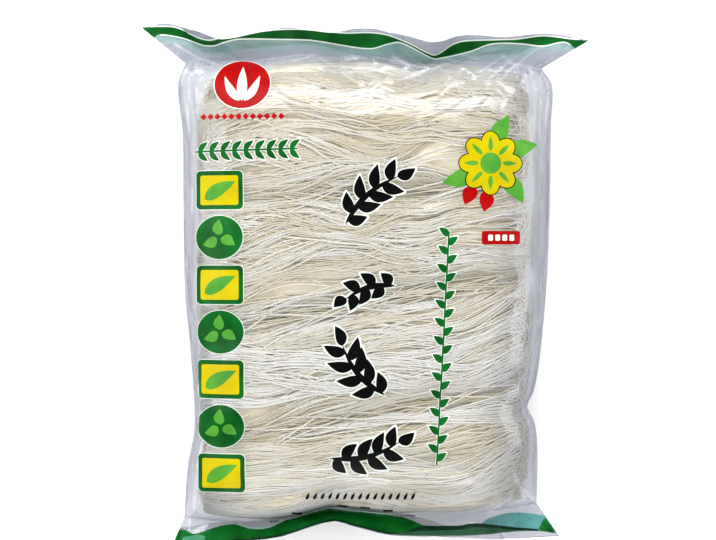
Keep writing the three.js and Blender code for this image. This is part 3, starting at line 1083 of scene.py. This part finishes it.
# The bands as (name, side, inner line, outer line, ink, ends, level).
BANDS = [
    ("band_top", 1, TOP_BAND_INNER, TOP_BAND_OUTER, "green_ink", ALL_ACROSS, 1),
    ("band_top_behind", -1, TOP_BAND_BEHIND, TOP_BAND_OUTER, "grey_green", ALL_ACROSS, 1),
    ("band_top_veil", 1, TOP_VEIL_EDGE, TOP_BAND_INNER, "green_veil", ALL_ACROSS, 1),
    # Painted highlights: pale lines in white ink along the top band's two edges, where the film folds.
    ("glint_top_inner", 1, TOP_BAND_INNER, beside(TOP_BAND_INNER, -GLINT_WIDTH), "white_ink", NEARLY_ALL, 2),
    ("glint_top_outer", 1, TOP_BAND_OUTER, beside(TOP_BAND_OUTER, GLINT_WIDTH), "white_ink", NEARLY_ALL, 2),
    ("band_bottom", 1, BOTTOM_BAND_INNER, BOTTOM_BAND_OUTER, "green_ink", (-1, 0.37), 1),
    # Painted shade: a dark line along the bottom band's free edge, a dark line on its fold, and a dull
    # green on the hem below the fold.
    ("band_edge", 1, BOTTOM_BAND_RIM, BOTTOM_BAND_OUTER, "shadow_green", (-0.95, 0.15), 1.5),
    ("band_hem", 1, FOLD_LOWER, HEM_EDGE, "shade_dull_green", (0.14, 0.84), 2),
    ("band_fold", 1, FOLD_UPPER, FOLD_LOWER, "shadow_green", (0.14, 0.92), 2.5),
    ("band_corner", 1, CORNER_UPPER, CORNER_LOWER, "green_ink", (0.92, 0.995), 3),
    # A paler green where the bottom band's corner turns over.
    ("band_turned", 1, TURNED_UPPER, TURNED_LOWER, "paler_green", (-0.96, -0.83), 3.5),
    ("band_bottom_behind", -1, BOTTOM_BAND_BEHIND, HEM_BEHIND, "smoke_green", (-1, 0.5), 1),
    ("band_bottom_patch", 1, PATCH_UPPER, HEM_BEHIND, "teal", (0.6, 1), 0.5),
    # Painted highlight: a pale green line along the bottom band's inner edge.
    ("glint_bottom", 1, BOTTOM_GLINT_EDGE, BOTTOM_BAND_INNER, "glint_green", (-0.7, 0.25), 4),
]


# ---------------------------------------------------------------- materials


def new_material(name):
    material = bpy.data.materials.new(name)
    material.use_nodes = True
    material.node_tree.nodes.clear()
    return material, material.node_tree


def finish_material(material, tree, shader):
    end = tree.nodes.new("ShaderNodeOutputMaterial")
    tree.links.new(shader, end.inputs["Surface"])
    return material


def add_node(tree, kind, inputs=None, output=0, **settings):
    """One output of a new node. Its inputs are values or other nodes' outputs."""
    made = tree.nodes.new("ShaderNode" + kind)
    for key, value in settings.items():
        setattr(made, key, value)
    for socket, value in (inputs or {}).items():
        if isinstance(value, bpy.types.NodeSocket):
            tree.links.new(value, made.inputs[socket])
        else:
            made.inputs[socket].default_value = value
    return made.outputs[output]


def object_place(tree):
    return add_node(tree, "TexCoord", output="Object")


def attribute(tree, name):
    return add_node(tree, "Attribute", output="Fac", attribute_name=name)


def speckle(tree, place, scale, detail):
    return add_node(tree, "TexNoise", {"Vector": place, "Scale": scale, "Detail": detail})


def calculate(tree, operation, *values):
    return add_node(tree, "Math", dict(enumerate(values)), operation=operation)


def ramp(tree, value, low, high, to_low=0.0, to_high=1.0):
    ends = {"Value": value, "From Min": low, "From Max": high, "To Min": to_low, "To Max": to_high}
    return add_node(tree, "MapRange", ends)


def blend_colours(tree, share, low, high):
    return add_node(tree, "Mix", {0: share, 6: (*low, 1), 7: (*high, 1)}, 2, data_type="RGBA")


def blend_shaders(tree, share, first, second):
    return add_node(tree, "MixShader", {0: share, 1: first, 2: second})


def film_material():
    """Clear film: hazier where it is slack, steep or creased, with a web of fine wrinkles. Its creases
    and wrinkles carry painted glints. Where it is slack, steep or near the sides it is darker, partly for
    its own layers and partly as painted shade.
    """
    material, tree = new_material("clear_film")
    keys = ("slack", "crease_glint", "side", "wrinkled")
    slack, crease_glint, side, wrinkled = (attribute(tree, key) for key in keys)
    place = object_place(tree)
    pulled = add_node(tree, "Mapping", {"Vector": place, "Scale": (1, 0.3, 1)})
    sharp = calculate(tree, "SUBTRACT", speckle(tree, pulled, 130, 2), 0.5)
    web = ramp(tree, calculate(tree, "ABSOLUTE", sharp), 0.0, 0.07, 1, 0)
    web = calculate(tree, "MULTIPLY", web, wrinkled)
    height = calculate(tree, "MULTIPLY_ADD", speckle(tree, place, 110, 3), 0.35, web)
    normal = add_node(tree, "Bump", {"Strength": 0.3, "Distance": 0.0008, "Height": height})

    facing = add_node(tree, "LayerWeight", {"Blend": 0.5}, "Facing")
    tilted = add_node(tree, "LayerWeight", {"Blend": 0.5, "Normal": normal}, "Facing")
    # Painted shade: where the film is slack, steep, near the sides or at its grazing rim, its clear part
    # darkens and its haze grows. This is partly for the film's own layers and partly for the bag's shadow
    # behind it.
    steep = ramp(tree, facing, 0.1, 0.9)
    steep = calculate(tree, "MULTIPLY", steep, ramp(tree, side, 0, 1, 0.1, 0.85))
    rim = calculate(tree, "MULTIPLY", calculate(tree, "POWER", facing, 10.0), 0.4)
    dense = calculate(tree, "ADD", calculate(tree, "MULTIPLY_ADD", slack, 0.38, steep), rim)
    # Painted glints: along the creases and the fine wrinkle web, the haze grows and turns near white.
    painted_glint = calculate(tree, "MULTIPLY_ADD", web, 0.12, calculate(tree, "MULTIPLY", crease_glint, 0.5))
    haze = calculate(tree, "ADD", calculate(tree, "MULTIPLY_ADD", dense, 0.33, 0.03), painted_glint)
    haze = calculate(tree, "MINIMUM", haze, 0.75)
    tint_and_shade = blend_colours(tree, dense, (0.965, 0.967, 0.97), (0.31, 0.33, 0.395))
    pale = ramp(tree, painted_glint, 0.0, 0.35)
    veil = blend_colours(tree, pale, (0.45, 0.47, 0.53), (0.97, 0.97, 0.98))
    clear = add_node(tree, "BsdfTransparent", {"Color": tint_and_shade})
    cloud = add_node(tree, "BsdfDiffuse", {"Color": veil})
    shine = calculate(tree, "MULTIPLY_ADD", calculate(tree, "POWER", tilted, 4.0), 0.3, 0.035)
    skin = {"Color": (1, 1, 1, 1), "Roughness": 0.13, "Normal": normal}
    gloss = add_node(tree, "BsdfGlossy", skin)
    body = blend_shaders(tree, haze, clear, cloud)
    return finish_material(material, tree, blend_shaders(tree, shine, body, gloss))


def streaked_material(name, low, high, fine, toned, roughness, relief):
    """Matter streaked along x, from a darker to a paler colour. What is toned takes each strand's own
    colour value, which is random lightness with painted shade on deeper strands, and lets light through."""
    material, tree = new_material(name)
    along = add_node(tree, "Mapping", {"Vector": object_place(tree), "Scale": (16, fine, fine)})
    level = grain = speckle(tree, along, 1.0, 2)
    if toned:
        level = ramp(tree, calculate(tree, "ADD", grain, attribute(tree, "tone")), -0.9, 1.7)
    bump = add_node(tree, "Bump", {"Strength": relief, "Distance": 0.001, "Height": grain})
    colour = blend_colours(tree, level, low, high)
    skin = {"Base Color": colour, "Roughness": roughness, "Normal": bump}
    surface = add_node(tree, "BsdfPrincipled", skin)
    if toned:
        glow = add_node(tree, "BsdfTranslucent", {"Color": colour})
        clear = add_node(tree, "BsdfTransparent", {"Color": (0.98, 0.97, 0.93, 1)})
        surface = blend_shaders(tree, 0.3, blend_shaders(tree, 0.38, surface, glow), clear)
    return finish_material(material, tree, surface)


# Each ink as its colour, a darker one that it varies to and how much it covers.
INKS = {
    "green_ink": ((0.003, 0.1, 0.013), (0.001, 0.045, 0.004), 1),
    "light_green_ink": ((0.08, 0.29, 0.03), (0.04, 0.19, 0.02), 1),
    "yellow_ink": ((0.47, 0.385, 0.001), (0.4, 0.32, 0.0005), 1),
    "red_ink": ((0.32, 0.001, 0.001), (0.26, 0.0005, 0.0005), 1),
    "black_ink": ((0.0015, 0.0015, 0.0015), (0.0005, 0.0005, 0.0005), 1),
    "white_ink": ((0.64, 0.69, 0.63), (0.56, 0.62, 0.56), 1),
    "grey_green": ((0.01, 0.3, 0.2), (0.005, 0.2, 0.12), 0.55),
    "green_veil": ((0.2, 0.58, 0.44), (0.1, 0.42, 0.3), 0.24),
    "smoke_green": ((0.05, 0.1, 0.065), (0.03, 0.06, 0.04), 0.5),
    "teal": ((0.02, 0.23, 0.22), (0.004, 0.12, 0.11), 0.74),
    # Painted shade: a dark green for the bottom band's free edge and its fold, and a dull green for the
    # hem below the fold.
    "shadow_green": ((0.002, 0.025, 0.009), (0.001, 0.012, 0.005), 1),
    "shade_dull_green": ((0.02, 0.075, 0.035), (0.012, 0.045, 0.02), 1),
    # A pale green for the painted highlight along the bottom band's inner edge.
    "glint_green": ((0.24, 0.4, 0.31), (0.16, 0.3, 0.22), 1),
    "paler_green": ((0.05, 0.2, 0.1), (0.03, 0.13, 0.07), 1),
}


def ink_material(name):
    """Ink printed on the film, slightly uneven. The veil fades to nothing where its strength
    is 0."""
    colour, darker, alpha = INKS[name]
    material, tree = new_material(name)
    grain = ramp(tree, speckle(tree, object_place(tree), 60, 3), 0.32, 0.68)
    if name == "green_veil":
        alpha = ramp(tree, attribute(tree, "strength"), 0.0, 0.6, 0.0, alpha)
    shade = blend_colours(tree, grain, darker, colour)
    skin = {"Base Color": shade, "Roughness": 0.3, "Specular IOR Level": 0.06, "Alpha": alpha}
    return finish_material(material, tree, add_node(tree, "BsdfPrincipled", skin))


# ---------------------------------------------------------------- floor, light and camera

PHOTO_WIDTH, PHOTO_HEIGHT = 716, 540  # pixels
PIXELS_PER_MM = 1.46
PHOTO_ORIGIN = (365, 285)  # the pixel over the print's own origin
SILHOUETTE_HEIGHT = 30  # mm above the floor, where the scale holds
CAMERA_DISTANCE = 1.6  # metres
SENSOR_WIDTH = 36
FLOOR_REACH = 3.0  # metres
SOFTBOXES = [  # name, place and size in metres, and watts
    ("box_left", (-1.2, 0.3, 0.95), (1.4, 0.7), 15.5),
    ("box_right", (1.25, 0.1, 0.8), (1.2, 0.5), 9),
    ("box_top", (-0.1, 1.25, 0.95), (1.4, 0.6), 24),
    ("box_bottom", (-0.1, -1.25, 0.8), (1.3, 0.5), 9),
]


def add_floor():
    mesh = bpy.data.meshes.new("floor")
    corners = [(x * FLOOR_REACH, y * FLOOR_REACH, 0) for x, y in ((-1, -1), (1, -1), (1, 1), (-1, 1))]
    mesh.from_pydata(corners, [], [(0, 1, 2, 3)])
    material, tree = new_material("floor")
    grain = speckle(tree, object_place(tree), 30, 2)
    bump = add_node(tree, "Bump", {"Strength": 0.02, "Height": grain})
    skin = {"Base Color": (0.93, 0.93, 0.93, 1), "Roughness": 0.6, "Normal": bump}
    mesh.materials.append(finish_material(material, tree, add_node(tree, "BsdfPrincipled", skin)))
    add_object("floor", mesh)


def add_softbox(name, place, size, power):
    light = bpy.data.lights.new(name, "AREA")
    light.shape = "RECTANGLE"
    light.size, light.size_y = size
    light.energy = power
    lamp = add_object(name, light)
    lamp.location = place
    lamp.rotation_euler = (-Vector(place)).to_track_quat("-Z", "Y").to_euler()


def add_world():
    world = bpy.data.worlds.new("studio")
    bpy.context.scene.world = world
    world.use_nodes = True
    background = world.node_tree.nodes["Background"]
    background.inputs["Color"].default_value = (0.97, 0.98, 1.0, 1)
    background.inputs["Strength"].default_value = 0.78


def add_camera():
    camera = bpy.data.cameras.new("camera")
    camera.sensor_width = SENSOR_WIDTH
    camera.lens = SENSOR_WIDTH * CAMERA_DISTANCE / (PHOTO_WIDTH / PIXELS_PER_MM * MM)
    across = (PHOTO_WIDTH / 2 - PHOTO_ORIGIN[0]) / PIXELS_PER_MM + SHIFT[0]
    up = (PHOTO_ORIGIN[1] - PHOTO_HEIGHT / 2) / PIXELS_PER_MM + SHIFT[1]
    eye = add_object("camera", camera)
    eye.location = (across * MM, up * MM, SILHOUETTE_HEIGHT * MM + CAMERA_DISTANCE)
    bpy.context.scene.camera = eye


def add_stage():
    add_floor()
    add_world()
    for softbox in SOFTBOXES:
        add_softbox(*softbox)
    add_camera()
    scene = bpy.context.scene
    scene.view_settings.view_transform = "Standard"
    scene.cycles.transparent_max_bounces = 11
    scene.cycles.diffuse_bounces = 6
    scene.cycles.max_bounces = 12


# ---------------------------------------------------------------- the bag

make_film(film_material())
strands = streaked_material("noodles", (0.85, 0.785, 0.6), (0.995, 0.99, 0.97), 160, True, 0.3, 0.0)
# The core runs darker and tanner than the strands: painted shade deep in the hank, over the noodles' own
# colour.
core = streaked_material("noodle_core", (0.72, 0.63, 0.41), (0.96, 0.92, 0.78), 950, False, 0.5, 0.6)
for k in range(HANKS):
    make_hank(k, strands)
    make_core(k, core)
make_strays(strands)
add_print({name: ink_material(name) for name in INKS})
add_stage()
